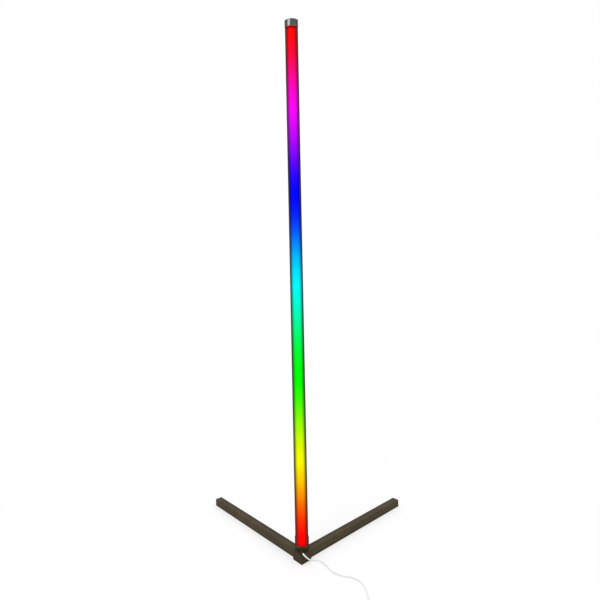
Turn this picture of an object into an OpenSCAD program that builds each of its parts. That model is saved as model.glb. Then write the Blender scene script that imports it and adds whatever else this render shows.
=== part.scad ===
// Corner floor lamp: a slim lit column that stands at the meeting point of two straight floor legs.
// The column is an aluminium corner profile whose rounded front is a milky diffuser.
//
// Frame, in millimetres: Z is up, the floor is z = 0 and the column axis is x = y = 0. The right leg
// runs along +X, the left leg along +Y, and the light faces the front corner, towards -X and -Y.

/* [Whole lamp] */
// Height of the whole lamp above the floor
lamp_h = 1200; // [900:10:1500]
// Reach of each leg, from the column axis to the leg's end
leg_reach = 352; // [250:1:420]

/* [Column profile] */
// Outside width of each of the profile's two back walls
profile_w = 20.4; // [19:0.1:22]
// Thickness of the two back walls
profile_wall = 1.5; // [1.3:0.1:1.7]
// Thickness of the two front lips that hold the diffuser
lip_t = 1; // [0.8:0.1:1.3]
// Width of the open window between the two lips, straight across
window_w = 21.6; // [20:0.1:22]
// Thickness of the bridge that carries the light strip
bridge_t = 1.2; // [1:0.1:1.4]
// Height of the two ribs behind the diffuser's edges
rib_h = 0.8; // [0.6:0.1:1]
// Thickness of those ribs
rib_t = 1; // [0.8:0.1:1.2]
// Number of equal lengths that the profile is joined from
section_count = 3; // [3:1:3]

/* [Diffuser and light strip] */
// Wall of the milky diffuser
lens_t = 1.4; // [1.1:0.1:1.6]
// Gap between the diffuser and the profile around it
lens_clear = 0.15; // [0.1:0.05:0.2]
// Width of the light strip
strip_w = 10; // [8:0.25:10.5]
// Thickness of the light strip
strip_t = 0.4; // [0.3:0.05:0.6]
// Room beside the light strip, on each side
strip_margin = 0.3; // [0.2:0.05:0.4]
// Distance from one light chip to the next
chip_pitch = 33.3; // [25:0.1:50]
// Width and height of a square light chip
chip_w = 5; // [3.5:0.1:5.4]
// Thickness of a light chip
chip_t = 1.6; // [1.2:0.1:2]
// Bare stretch of the strip's place at each end of the profile
strip_end = 2; // [1:0.5:4]
// Height of the wires' ends above the strip's lower end
wire_end = 3; // [2:0.25:3.5]
// Distance from the strip's lower end to the first light chip
chip_start = 4; // [4:0.25:8]

/* [Profile joints] */
// Length of the triangular key inside each joint
key_l = 60; // [50:1:80]
// Gap between a key and the duct around it
key_clear = 0.15; // [0.1:0.05:0.2]
// Radius of a grub screw
grub_r = 1.25; // [1.1:0.05:1.35]
// Length of a grub screw
grub_l = 3.1; // [2.5:0.1:3.3]
// Distance from a joint to the grub screws on both sides of it
grub_from_joint = 15; // [8:0.5:20]
// Distance from the profile's back corner to the screws in the duct
duct_screw_in = 3.6; // [3.5:0.05:3.75]

/* [Top cap] */
// Height of the metal cap on the column's top end
top_cap_h = 18.8; // [14:0.2:26]
// Wall of the top cap's sleeve
top_cap_wall = 0.95; // [0.8:0.05:1.2]
// Thickness of the top cap's closed end
top_cap_plate = 2; // [1.5:0.1:3]
// Gap between the top cap's sleeve and the profile
top_cap_clear = 0.15; // [0.1:0.05:0.25]
// Rounding of the top cap's upper edge
top_cap_round = 2; // [1:0.1:2.4]
// Rounding of the top cap's upright edges
top_cap_corner = 0.8; // [0.4:0.1:1]

/* [Bottom cap] */
// Height of the cap between the socket's floor and the profile
bottom_cap_h = 9.5; // [8:0.25:12]
// Height of the bottom cap's tongue inside the profile's duct
tongue_h = 20; // [18:0.5:30]
// Radius of the wire well in the bottom cap
well_r = 3.2; // [2.8:0.1:3.4]
// Floor left under the wire well
well_floor = 1; // [0.8:0.1:1.4]
// Radius of one feed wire
wire_r = 0.45; // [0.35:0.05:0.5]
// Distance between feed wires
wire_pitch = 1.4; // [1.2:0.1:1.5]

/* [Socket bracket] */
// Thickness of the folded bracket
bracket_t = 1.5; // [1.2:0.1:2]
// Gap between the bracket's walls and the profile
bracket_clear = 0.2; // [0.1:0.05:0.3]
// Height of the bracket above the corner block
bracket_h = 31; // [28:0.5:45]

/* [Corner block] */
// Width of the square corner block
block_w = 29.3; // [28.5:0.1:36]
// Height of the corner block
block_h = 20.8; // [20:0.1:26]
// Rounding of the corner block's upright edges
block_round = 1.2; // [0.5:0.1:2]
// Rounding of the corner block's edges above and below
block_edge = 0.6; // [0.3:0.1:0.8]
// Length of the two spigots that enter the legs
spigot_l = 34; // [30:1:50]

/* [Legs] */
// Outside width and height of a leg's square tube
leg_w = 18.4; // [16:0.1:20]
// Wall of a leg's tube
leg_wall = 1.2; // [1:0.1:1.6]
// Rounding of a leg's four long edges
leg_round = 1.2; // [0.5:0.1:2]
// Gap between a leg's tube and what fits inside it
leg_clear = 0.15; // [0.1:0.05:0.25]
// Thickness of a leg's end cap
end_cap_t = 2; // [1.5:0.1:4]
// Rounding of the end cap's outer edge
end_cap_edge = 0.7; // [0.3:0.1:1]
// Length of the end cap's plug inside the leg
end_plug_l = 12; // [8:0.5:20]

/* [Foot pads] */
// Thickness of the foot pads
pad_t = 1; // [0.8:0.1:2]
// Width of the square pad under the corner block
corner_pad_w = 24; // [18:0.5:26]
// Length of the pad under each leg
leg_pad_l = 30; // [15:1:50]
// Width of the pad under each leg
leg_pad_w = 12; // [8:0.5:13]
// Distance from a leg's end to its pad
leg_pad_in = 14; // [6:1:30]

/* [Screws] */
// Shank radius of the screws in the socket and its floor
screw_r = 1.45; // [1.3:0.05:1.5]
// Head radius of the screws in the socket
screw_head_r = 2.6; // [2.3:0.1:2.8]
// Head height of the screws in the socket
screw_head_h = 1.7; // [1.3:0.1:2.2]
// Depth of the lower socket screws inside the bottom cap
screw_grip = 3.5; // [2.5:0.1:4]
// Distance from the profile's back corner to the lower socket screws
low_screw_in = 11.5; // [11:0.1:12]
// Height of the lowest upper socket screw above the profile's lower end
upper_screw_up = 6.5; // [5:0.25:7]
// Distance from the profile's back corner to the countersunk screws, along the diagonal
floor_screw_s = 12; // [11:0.25:13]
// Distance of the countersunk screws from the diagonal
floor_screw_side = 6.5; // [6:0.25:7]
// Length of the countersunk screws that hold the bracket
floor_screw_l = 12; // [8:0.5:15]
// Head radius of the countersunk screws
floor_head_r = 2.9; // [2.5:0.1:3.2]
// Shank radius of the leg screws
leg_screw_r = 1.95; // [1.7:0.05:2.2]
// Head radius of the leg screws
leg_head_r = 3.6; // [3:0.1:4]
// Head height of the leg screws
leg_head_h = 2.2; // [1.6:0.1:2.8]
// Length of the leg screws under their heads
leg_screw_l = 8; // [6:0.5:10]
// Distance from the corner block to the first leg screw
leg_screw_in = 9; // [8:0.5:12]
// Distance between the two screws of a leg
leg_screw_pitch = 16; // [12:0.5:18]
// Gap between a screw's shank and its hole
screw_clear = 0.05; // [0.02:0.01:0.1]
// Width across the flats of the driver socket in a screw's head
hex_w = 2.5; // [2:0.1:3]

/* [Cord] */
// Diameter of the power cord
cord_d = 3.2; // [2.8:0.1:3.4]
// Height of the cord's exit above the socket's floor
exit_rise = 2.5; // [2.4:0.1:3.2]
// Length of the strain relief outside the bottom cap
relief_l = 4; // [3:0.25:6]
// Radius of the strain relief at its thick end
relief_r = 2.1; // [2:0.05:2.2]
// Radius of the strain relief at its tip
relief_tip_r = 1.8; // [1.7:0.05:1.9]

/* [Stored coil] */
// Inner radius of the coil, at the middle of the cord
coil_r_in = 11.5; // [11:0.25:12]
// Air between neighbouring turns of the coil
coil_gap = 0.55; // [0.45:0.05:0.6]
// Degrees that the coil turns in each of its two layers
coil_sweep = 1470; // [1110:360:1470]
// Thickness of the tie around the coil
tie_t = 0.6; // [0.4:0.1:0.8]
// Width of the tie
tie_w = 4; // [3:0.5:5]
// Gap between the tie and the coil
tie_clear = 0.3; // [0.2:0.05:0.4]

/* [Controller] */
// Length of the controller in the cord
ctrl_l = 44; // [42:0.5:46]
// Width of the controller
ctrl_w = 16; // [15:0.25:17]
// Height of the controller
ctrl_h = 9.5; // [9:0.1:11]
// Wall of the controller's two half shells
ctrl_wall = 1.2; // [1:0.1:1.4]
// Rounding of the controller's upright edges
ctrl_round = 2.5; // [2:0.1:4]
// Rounding of the controller's edges above and below
ctrl_edge = 1; // [0.5:0.1:1.1]
// Length of each cone-shaped grommet outside the controller
grommet_l = 9; // [8:0.5:9.5]
// Radius of a grommet at the controller
grommet_r = 3; // [2.8:0.1:3.4]
// Radius of a grommet at its tip
grommet_tip_r = 2; // [1.9:0.05:2.2]
// Radius of a grommet inside the shell's end wall
grommet_neck_r = 2.2; // [2:0.05:2.5]
// Radius of a grommet's flange inside the shell
grommet_flange_r = 3.2; // [2.8:0.1:3.3]
// Thickness of a grommet's flange
grommet_flange_t = 1; // [0.8:0.1:1.2]

/* [Controller board] */
// Length of the circuit board
board_l = 38; // [36:0.25:38.5]
// Width of the circuit board
board_w = 12; // [10:0.25:12.5]
// Thickness of the circuit board
board_t = 1; // [0.8:0.1:1.2]
// Height of the posts under the circuit board
post_h = 2.4; // [2:0.1:2.5]
// Radius of the posts
post_r = 1.2; // [1:0.1:1.5]
// Width of a push switch
switch_w = 4.5; // [4:0.1:5]
// Height of a push switch's body
switch_h = 1.5; // [1.2:0.1:1.5]
// Height of a push switch's plunger
plunger_h = 0.3; // [0.2:0.05:0.3]
// Length of the driver chip
driver_l = 4; // [3:0.25:4.4]
// Width of the driver chip
driver_w = 3; // [2:0.25:4]
// Height of the driver chip
driver_h = 0.9; // [0.6:0.1:1.2]
// Distance from the board's long edges to the middle of the posts
post_in = 1.5; // [1.4:0.1:1.6]
// Distance from the board's short edges to the middle of the posts
post_end_in = 3; // [2:0.25:3.5]

/* [Buttons] */
// Radius of a button
button_r = 3; // [2.5:0.1:3.3]
// Distance from one button to the next
button_pitch = 11; // [10:0.25:11.5]
// Travel of a button
button_stroke = 0.5; // [0.3:0.05:0.6]
// Height of a button above the shell
button_proud = 1; // [0.8:0.1:1.5]
// Gap between a button and its hole
button_clear = 0.25; // [0.2:0.05:0.35]
// Width of the flange that keeps a button in
button_flange = 0.8; // [0.6:0.1:1]
// Thickness of that flange
button_flange_t = 0.8; // [0.6:0.1:0.9]
// Play above the flange
button_play = 0.3; // [0.2:0.05:0.35]

/* [Plug] */
// Length of the plug's moulded body
plug_l = 24; // [20:0.5:28]
// Width of the plug's moulded body
plug_w = 15.6; // [14.5:0.1:17]
// Height of the plug's moulded body
plug_h = 8; // [7.5:0.1:9]
// Rounding of the plug body's upright edges
plug_round = 1.5; // [1:0.1:3]
// Rounding of the plug body's edges above and below
plug_edge = 1; // [0.5:0.1:1.1]
// Length of the plug's tapered strain relief
plug_relief_l = 10; // [8:0.5:12]
// Radius of the plug's strain relief at the body
plug_relief_r = 3.2; // [2.8:0.1:3.5]
// Width of the plug's metal shell
shell_w = 12; // [11.8:0.1:12.2]
// Height of the plug's metal shell
shell_h = 4.5; // [4.3:0.1:4.7]
// Wall of the plug's metal shell
shell_wall = 0.35; // [0.3:0.05:0.4]
// Length of the metal shell outside the body
shell_out = 12; // [11:0.25:13]
// Depth of the metal shell inside the body
shell_in = 3; // [2:0.25:5]
// Thickness of the insulating tongue in the shell
insert_t = 1.85; // [1.6:0.05:1.95]
// Width of a contact strip
contact_w = 1; // [0.8:0.1:1.2]
// Thickness of a contact strip
contact_t = 0.2; // [0.15:0.05:0.25]

/* [Hidden] */

// Overshoot of a cut past the faces that it opens
cut = 1;

// Heights, from the floor up
block_top = pad_t + block_h;
socket_floor = block_top + bracket_t;
profile_z0 = socket_floor + bottom_cap_h;
profile_z1 = lamp_h - top_cap_plate;
bracket_top = block_top + bracket_h;
section_l = (profile_z1 - profile_z0) / section_count;
leg_z = pad_t + leg_w / 2;
exit_z = socket_floor + exit_rise;

// The profile's section: its back corner is at [back, back], and its front is an arc about that corner
back = profile_w / 2;
span = 3 * profile_w;
bridge_s = profile_wall * sqrt(2) + strip_w / 2 + strip_margin;
duct_s = bridge_s - bridge_t;
window_s = profile_wall * sqrt(2) + window_w / 2 + 0.3;
lens_r = profile_w - lip_t - lens_clear;
rib_reach = profile_wall + rib_h;
rib_r = sqrt(pow(lens_r - lens_t - lens_clear, 2) - pow(rib_reach, 2));
strip_z0 = profile_z0 + strip_end;
strip_z1 = profile_z1 - strip_end;
chip_count = floor((strip_z1 - strip_z0 - chip_w - chip_start) / chip_pitch) + 1;
bracket_in = bracket_clear + bracket_t;

// Heights of the screws on the two socket walls, set apart so that they don't meet, and in the socket's floor
socket_screw_low = socket_floor + bottom_cap_h / 2;
socket_screw_x = profile_z0 + upper_screw_up;
socket_screw_y = profile_z0 + bracket_top - socket_floor - bottom_cap_h - upper_screw_up;
floor_screw_z = socket_floor - floor_screw_l;
// Length of the upper socket screws past the profile's outer face
duct_grip = grub_l;

// The wire well's middle, from the profile's back corner along the diagonal
well_s = bridge_s + strip_t + well_r + 0.3;
relief_s0 = well_s + 0.6;
relief_s1 = profile_w + relief_l;

// The legs
block_half = block_w / 2;
leg_inner_w = leg_w - 2 * leg_wall;
spigot_w = leg_inner_w - 2 * leg_clear;

// The cord: its radius, and the height of its middle when it lies on the floor
cord_r = cord_d / 2;
lie = 1.7;

// The stored coil: turns a pitch apart in two layers, wound clockwise seen from above
coil_at = [-38, -198];
coil_middle = -65;
coil_step = 15;
coil_pitch = cord_d + coil_gap;
coil_low = tie_t + tie_clear + cord_r;
coil_high = coil_low + coil_pitch;
coil_r_out = coil_r_in + coil_pitch * coil_sweep / 360;
coil_start_angle = coil_middle + coil_sweep;
coil_end_angle = coil_middle - coil_sweep;
tie_angle = 100;

// The controller and the plug, beside the coil
ctrl_at = [-77, -168];
ctrl_half = ctrl_l / 2;
ctrl_mid = ctrl_h / 2;
ctrl_roof = ctrl_h - ctrl_wall;
board_z = ctrl_wall + post_h;
board_top = board_z + board_t;
button_flange_top = ctrl_roof - button_play;
plug_at = [-100, -162];
plug_mid = plug_h / 2;
plug_front = -plug_l / 2;
plug_back = plug_l / 2;

// Points of the coil's middle line. a is the turn in degrees, counted from the middle of the climb
function coil_point(a) =
    let (
        r = coil_r_in + coil_pitch * abs(a) / 360,
        climb = min(max((a + 90) / 180, 0), 1)
    )
    [
        coil_at[0] + r * cos(coil_middle - a),
        coil_at[1] + r * sin(coil_middle - a),
        coil_low + (coil_high - coil_low) * climb
    ];
// Direction of travel where the coil starts and ends
coil_in_dir = [sin(coil_start_angle), -cos(coil_start_angle), 0];
coil_out_dir = [sin(coil_end_angle), -cos(coil_end_angle), 0];
coil_turns = [for (a = [-coil_sweep : coil_step : coil_sweep]) coil_point(a)];
coil_start = coil_turns[0] - cord_d * coil_in_dir;
coil_end = coil_turns[len(coil_turns) - 1] + cord_d * coil_out_dir;
coil_path = concat([coil_start], coil_turns, [coil_end]);

// The strain relief's tip, where the free cord begins
tip_xy = back - relief_s1 / sqrt(2);
tip = [tip_xy, tip_xy, exit_z];
out_dir = [-1, -1, 0] / sqrt(2);

// Route of the lead: over the block's edge, down its right front face, across the floor to the coil
lead_points = [
    [-10.5, -11.6, 25.8], [-11.1, -14.3, 25], [-10.7, -16.8, 23.4], [-9.2, -18.9, 21],
    [-6.9, -20.1, 18.1], [-4, -20.3, 14.9], [-0.9, -19.8, 11.7], [2.5, -19.1, 8.7],
    [6.3, -18.6, 5.9], [10.4, -18.6, 3.5], [14.7, -19.8, 2.1], [18.5, -22.6, lie],
    [21.5, -26.7, lie], [23.5, -32, lie], [24.2, -38, lie], [23.7, -45, lie], [22.2, -53, lie],
    [20, -61, lie], [18.2, -69, lie], [17.4, -78, lie], [18.2, -87, lie], [21, -96, lie],
    [25.5, -104, lie], [30.5, -112, lie], [34, -120, lie], [36, -129, lie], [35.5, -138, lie],
    [32.5, -147, lie], [28, -155, lie], [22.5, -163, lie], [16.5, -171, lie], [10, -179, lie],
    [3.5, -187, lie], [-2.5, -195, lie], [-8.5, -203, 2.1]
];
lead_path = concat(
    [tip, tip + cord_d * out_dir],
    lead_points,
    [coil_start - cord_d * coil_in_dir, coil_start]
);

// Route of the link: from the coil's upper layer down beside it and into the controller
link_start = [ctrl_at[0], ctrl_at[1] - ctrl_half - grommet_l, ctrl_mid];
link_points = [
    [-50.5, -223.4, 6], [-57.5, -221.6, 5.4], [-63.8, -218.2, 4.6], [-69.4, -213.8, 4.1],
    [-73.8, -208.4, 4.2]
];
link_path = concat(
    [coil_end, coil_end + cord_d * coil_out_dir],
    link_points,
    [link_start - [0, cord_d, 0], link_start]
);

// Route of the tail: out of the controller, round in a wide bend and into the plug
tail_start = [ctrl_at[0], ctrl_at[1] + ctrl_half + grommet_l, ctrl_mid];
tail_end = [plug_at[0], plug_at[1] + plug_back + plug_relief_l, plug_mid];
tail_points = [
    [-77, -129, 4], [-77, -123, 2.4], [-78.5, -116.5, lie], [-82.5, -111.5, lie],
    [-88.5, -109.5, lie], [-94.5, -111.5, lie], [-98.5, -116.5, lie], [-100, -123, 2.2],
    [-100, -130, 3.4]
];
tail_path = concat(
    [tail_start, tail_start + [0, cord_d, 0]],
    tail_points,
    [tail_end + [0, cord_d, 0], tail_end]
);

// Lengths and the coil's least air to itself, for the maker
function path_length(path, i = 1) =
    i >= len(path) ? 0 : norm(path[i] - path[i - 1]) + path_length(path, i + 1);
half_loop = 180 / coil_step;
coil_least = min([
    for (i = [0 : len(coil_path) - 1], j = [i + half_loop : 1 : len(coil_path) - 1])
        norm(coil_path[i] - coil_path[j])
]) - cord_d;
echo(lead_mm = path_length(lead_path), coil_mm = path_length(coil_path));
echo(link_mm = path_length(link_path), tail_mm = path_length(tail_path));
echo(coil_least_gap_mm = coil_least);

// Colours
steel_dark = [0.25, 0.21, 0.16];
anodised = [0.09, 0.09, 0.09];
zinc = [0.6, 0.6, 0.58];
gunmetal = [0.4, 0.42, 0.41];
milky = [0.95, 0.95, 0.93];
rubber = [0.1, 0.1, 0.1];
pcb_white = [0.9, 0.9, 0.88];
cord_white = [0.93, 0.93, 0.9];
gold = [0.8, 0.65, 0.3];

// A tube swept along a path, with a ring of flat sides at each of its points
function unit(v) = v / norm(v);
function tangent(path, i) = unit(path[min(i + 1, len(path) - 1)] - path[max(i - 1, 0)]);
function ring_at(path, i, r, sides) =
    let (
        t = tangent(path, i),
        side = unit(cross(t, [0, 0, 1])),
        top = cross(side, t)
    )
    [
        for (k = [0 : sides - 1])
            path[i] + r * (cos(360 * k / sides) * side + sin(360 * k / sides) * top)
    ];
module tube(path, r, sides) {
    last = (len(path) - 1) * sides;
    points = [for (i = [0 : len(path) - 1]) each ring_at(path, i, r, sides)];
    walls = [
        for (i = [0 : len(path) - 2], k = [0 : sides - 1])
            let (a = i * sides + k, b = i * sides + (k + 1) % sides)
            each [[a, b, b + sides], [a, b + sides, a + sides]]
    ];
    start = [for (k = [1 : sides - 2]) [0, k + 1, k]];
    end = [for (k = [1 : sides - 2]) [last, last + k, last + k + 1]];
    polyhedron(points, concat(walls, start, end), convexity = 10);
}

// A box with rounded upright edges, centred on x = y = 0
module rounded_box(size, r, z0) {
    x = size[0] / 2 - r;
    y = size[1] / 2 - r;
    translate([-x, -size[1] / 2, z0]) cube([2 * x, size[1], size[2]]);
    translate([-size[0] / 2, -y, z0]) cube([size[0], 2 * y, size[2]]);
    for (sx = [-x, x], sy = [-y, y]) translate([sx, sy, z0]) cylinder(r = r, h = size[2], $fn = 32);
}

// A box with rounded upright edges, and its edges above and below rounded too
module soft_box(size, r, edge, z0) {
    middle = z0 + size[2] / 2;
    intersection() {
        rounded_box(size, r, z0);
        translate([0, 0, middle]) rotate([90, 0, 0])
            rounded_box([size[0], size[2], size[1] + 2 * cut], edge, -size[1] / 2 - cut);
        translate([0, 0, middle]) rotate([0, 90, 0])
            rounded_box([size[2], size[1], size[0] + 2 * cut], edge, -size[0] / 2 - cut);
    }
}
// Keeps the part of its children between two heights
module between(z0, z1) {
    intersection() {
        children();
        translate([-span, -span, z0]) cube([2 * span, 2 * span, z1 - z0]);
    }
}

// A square bar along +X from the origin, with rounded long edges
module bar(l, w, r) {
    rotate([0, 90, 0]) rounded_box([w, w, l], r, 0);
}

// The profile's quarter-round plan: an arc about the back corner, with both back walls set in by inset
module quarter(radius, inset, z0, z1) {
    translate([0, 0, z0]) intersection() {
        translate([back, back, 0]) cylinder(r = radius, h = z1 - z0, $fn = 128);
        translate([back - inset - span, back - inset - span, 0]) cube([span, span, z1 - z0]);
    }
}

// Places its children so that +X runs from the profile's back corner towards the front
module on_diagonal() {
    translate([back, back, 0]) rotate([0, 0, -135]) children();
}

// A block across the diagonal, from s0 to s1
module across(s0, s1, w, z0, z1) {
    on_diagonal() translate([s0, -w / 2, z0]) cube([s1 - s0, w, z1 - z0]);
}

// The triangular bar that fills the profile's duct, with a gap all round
module duct_bar(gap, z0, z1) {
    corner = back - profile_wall - gap;
    leg = (duct_s - gap) * sqrt(2) - 2 * (profile_wall + gap);
    translate([0, 0, z0]) linear_extrude(z1 - z0)
        polygon([[corner, corner], [corner - leg, corner], [corner, corner - leg]]);
}

// Places a screw on the back wall that faces +X, at a distance from the back corner, pointing inwards
module at_wall_x(in, z) {
    translate([back, back - in, z]) rotate([0, -90, 0]) children();
}
// The same on the back wall that faces +Y
module at_wall_y(in, z) {
    translate([back - in, back, z]) rotate([90, 0, 0]) children();
}

// A straight hole or shank along +Z, from z0 to z1
module rod(r, z0, z1) {
    translate([0, 0, z0]) cylinder(r = r, h = z1 - z0, $fn = 32);
}

// A pan-head screw with its head's seat at z = 0, its shank along +Z and a six-sided driver socket
module pan_screw(r, l, head_r, head_h) {
    difference() {
        union() {
            rod(r, 0, l);
            rod(head_r, -head_h, 0);
        }
        translate([0, 0, -head_h - cut])
            cylinder(r = hex_w / sqrt(3), h = cut + head_h * 0.6, $fn = 6);
    }
}

module profile_part(index) {
    z0 = profile_z0 + index * section_l;
    z1 = z0 + section_l;
    difference() {
        union() {
            difference() {
                quarter(profile_w, 0, z0, z1);
                intersection() {
                    quarter(profile_w - lip_t, profile_wall, z0 - cut, z1 + cut);
                    across(bridge_s, span, span, z0 - cut, z1 + cut);
                }
                intersection() {
                    quarter(profile_w, profile_wall, z0 - cut, z1 + cut);
                    across(-cut, duct_s, span, z0 - cut, z1 + cut);
                }
                across(window_s, span, window_w, z0 - cut, z1 + cut);
            }
            // Ribs behind the diffuser's edges
            translate([back - rib_reach, back - rib_r, z0]) cube([rib_h, rib_t, z1 - z0]);
            translate([back - rib_r, back - rib_reach, z0]) cube([rib_t, rib_h, z1 - z0]);
        }
        if (index > 0) at_wall_x(duct_screw_in, z0 + grub_from_joint)
            rod(grub_r + screw_clear, -cut, profile_wall + cut);
        if (index < section_count - 1) at_wall_x(duct_screw_in, z1 - grub_from_joint)
            rod(grub_r + screw_clear, -cut, profile_wall + cut);
        if (index == 0) {
            at_wall_x(duct_screw_in, socket_screw_x) rod(screw_r + screw_clear, -cut, profile_wall + cut);
            at_wall_y(duct_screw_in, socket_screw_y) rod(screw_r + screw_clear, -cut, profile_wall + cut);
        }
    }
}
module profile_lower() { color(anodised) profile_part(0); }
module profile_middle() { color(anodised) profile_part(1); }
module profile_upper() { color(anodised) profile_part(2); }

// A key bridges the joint above the section with this index
module joint_key(index) {
    z = profile_z0 + (index + 1) * section_l;
    color(zinc) difference() {
        duct_bar(key_clear, z - key_l / 2, z + key_l / 2);
        for (side = [-1, 1]) at_wall_x(duct_screw_in, z + side * grub_from_joint)
            rod(grub_r + screw_clear, -cut, grub_l + screw_clear);
    }
}
module joint_key_lower() { joint_key(0); }
module joint_key_upper() { joint_key(1); }

module joint_grub_screws() {
    color(zinc) for (index = [0 : section_count - 2], side = [-1, 1])
        at_wall_x(duct_screw_in, profile_z0 + (index + 1) * section_l + side * grub_from_joint)
            difference() {
                rod(grub_r, 0, grub_l);
                translate([0, 0, -cut]) cylinder(r = grub_r * 0.6, h = cut + grub_l * 0.4, $fn = 6);
            }
}

module light_strip() {
    color(pcb_white) across(bridge_s, bridge_s + strip_t, strip_w, strip_z0, strip_z1);
}

module light_chips() {
    s = bridge_s + strip_t;
    color(gold) for (i = [0 : chip_count - 1]) {
        z = strip_z0 + chip_start + i * chip_pitch;
        difference() {
            across(s, s + chip_t, chip_w, z, z + chip_w);
            // The round window in the chip's face
            on_diagonal() translate([s + chip_t, 0, z + chip_w / 2]) rotate([0, 90, 0])
                rod(chip_w * 0.38, -chip_t * 0.3, cut);
        }
    }
}

module diffuser() {
    color(milky) difference() {
        quarter(lens_r, profile_wall + lens_clear, profile_z0, profile_z1);
        translate([back, back, profile_z0 - cut])
            cylinder(r = lens_r - lens_t, h = profile_z1 - profile_z0 + 2 * cut, $fn = 128);
    }
}

// The top cap's plan has rounded corners, and its upper edge is rounded along the arc and both back walls
module top_cap() {
    grow = top_cap_clear + top_cap_wall;
    radius = profile_w + grow;
    side = radius + grow + 0.05;
    middle = back + grow - side / 2;
    z0 = lamp_h - top_cap_h;
    color(gunmetal) difference() {
        intersection() {
            translate([back, back, z0]) rotate_extrude($fn = 96) {
                square([radius, top_cap_h - top_cap_round]);
                square([radius - top_cap_round, top_cap_h]);
                translate([radius - top_cap_round, top_cap_h - top_cap_round])
                    circle(r = top_cap_round, $fn = 48);
            }
            translate([middle, middle, 0]) rounded_box([side, side, top_cap_h], top_cap_corner, z0);
            translate([back + grow - span / 2, back, lamp_h - span / 2]) rotate([90, 0, 0])
                rounded_box([span, span, 2 * span], top_cap_round, -span);
            translate([back, back + grow - span / 2, lamp_h - span / 2]) rotate([0, 90, 0])
                rounded_box([span, span, 2 * span], top_cap_round, -span);
        }
        quarter(profile_w + top_cap_clear, -top_cap_clear, z0 - cut, profile_z1);
    }
}

module bottom_cap() {
    color(steel_dark) difference() {
        union() {
            quarter(profile_w, 0, socket_floor, profile_z0);
            duct_bar(key_clear, profile_z0 - cut, profile_z0 + tongue_h);
        }
        on_diagonal() translate([well_s, 0, 0]) rod(well_r, socket_floor + well_floor, profile_z0 + cut);
        on_diagonal() translate([0, 0, exit_z]) rotate([0, 90, 0])
            rod(relief_r + screw_clear, well_s, profile_w + cut);
        at_wall_x(low_screw_in, socket_screw_low) rod(screw_r + screw_clear, -cut, screw_grip + screw_clear);
        at_wall_y(low_screw_in, socket_screw_low) rod(screw_r + screw_clear, -cut, screw_grip + screw_clear);
        at_wall_x(duct_screw_in, socket_screw_x) rod(screw_r + screw_clear, -cut, duct_grip + screw_clear);
        at_wall_y(duct_screw_in, socket_screw_y) rod(screw_r + screw_clear, -cut, duct_grip + screw_clear);
    }
}

module feed_wires() {
    lean = well_s - (bridge_s + strip_t + wire_r);
    rise = strip_z0 + wire_end - exit_z;
    color(cord_white) for (i = [-1, 0, 1])
        on_diagonal() translate([well_s, i * wire_pitch, exit_z])
            rotate([0, -atan(lean / rise), 0]) rod(wire_r, 0, norm([lean, rise]));
}

module strain_relief() {
    color(rubber) on_diagonal() translate([0, 0, exit_z]) rotate([0, 90, 0]) rotate_extrude($fn = 32)
        polygon([
            [0, relief_s0], [relief_r, relief_s0], [relief_r, profile_w],
            [relief_tip_r, relief_s1], [0, relief_s1]
        ]);
}

module socket_bracket() {
    color(steel_dark) difference() {
        union() {
            quarter(profile_w, -bracket_in, block_top, socket_floor);
            difference() {
                quarter(profile_w, -bracket_in, socket_floor - cut / 2, bracket_top);
                translate([back + bracket_clear - span, back + bracket_clear - span, socket_floor - cut])
                    cube([span, span, bracket_h + 2 * cut]);
            }
        }
        for (side = [-1, 1]) on_diagonal() translate([floor_screw_s, side * floor_screw_side, 0])
            floor_screw_hole();
        at_wall_x(low_screw_in, socket_screw_low) wall_hole();
        at_wall_y(low_screw_in, socket_screw_low) wall_hole();
        at_wall_x(duct_screw_in, socket_screw_x) wall_hole();
        at_wall_y(duct_screw_in, socket_screw_y) wall_hole();
    }
}
// A screw's hole through one wall of the bracket
module wall_hole() {
    rod(screw_r + screw_clear, -bracket_in - cut, cut);
}
// A countersunk hole from the socket's floor downwards
module floor_screw_hole() {
    rod(screw_r + screw_clear, floor_screw_z - screw_clear, socket_floor + cut);
    translate([0, 0, block_top])
        cylinder(r1 = screw_r + screw_clear, r2 = floor_head_r + screw_clear, h = bracket_t, $fn = 32);
}

module bracket_screws() {
    color(zinc) for (side = [-1, 1]) on_diagonal()
        translate([floor_screw_s, side * floor_screw_side, 0]) difference() {
            union() {
                rod(screw_r, floor_screw_z, block_top);
                translate([0, 0, block_top])
                    cylinder(r1 = screw_r, r2 = floor_head_r, h = bracket_t, $fn = 32);
            }
            translate([0, 0, socket_floor - bracket_t * 0.7])
                cylinder(r = hex_w / sqrt(3) * 0.8, h = bracket_t, $fn = 6);
        }
}

module socket_screws() {
    color(zinc) {
        at_wall_x(low_screw_in, socket_screw_low) low_screw();
        at_wall_y(low_screw_in, socket_screw_low) low_screw();
        at_wall_x(duct_screw_in, socket_screw_x) duct_screw();
        at_wall_y(duct_screw_in, socket_screw_y) duct_screw();
    }
}
module low_screw() {
    translate([0, 0, -bracket_in]) pan_screw(screw_r, bracket_in + screw_grip, screw_head_r, screw_head_h);
}
module duct_screw() {
    translate([0, 0, -bracket_in]) pan_screw(screw_r, bracket_in + duct_grip, screw_head_r, screw_head_h);
}

// Mirrors its children from the right leg to the left one
module left_side() {
    mirror([1, -1, 0]) children();
}

// Places of a leg's two screws, on its rear face, pointing into the leg
module at_leg_screws() {
    for (i = [0, 1]) translate([block_half + leg_screw_in + i * leg_screw_pitch, leg_w / 2, leg_z])
        rotate([90, 0, 0]) children();
}

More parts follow.
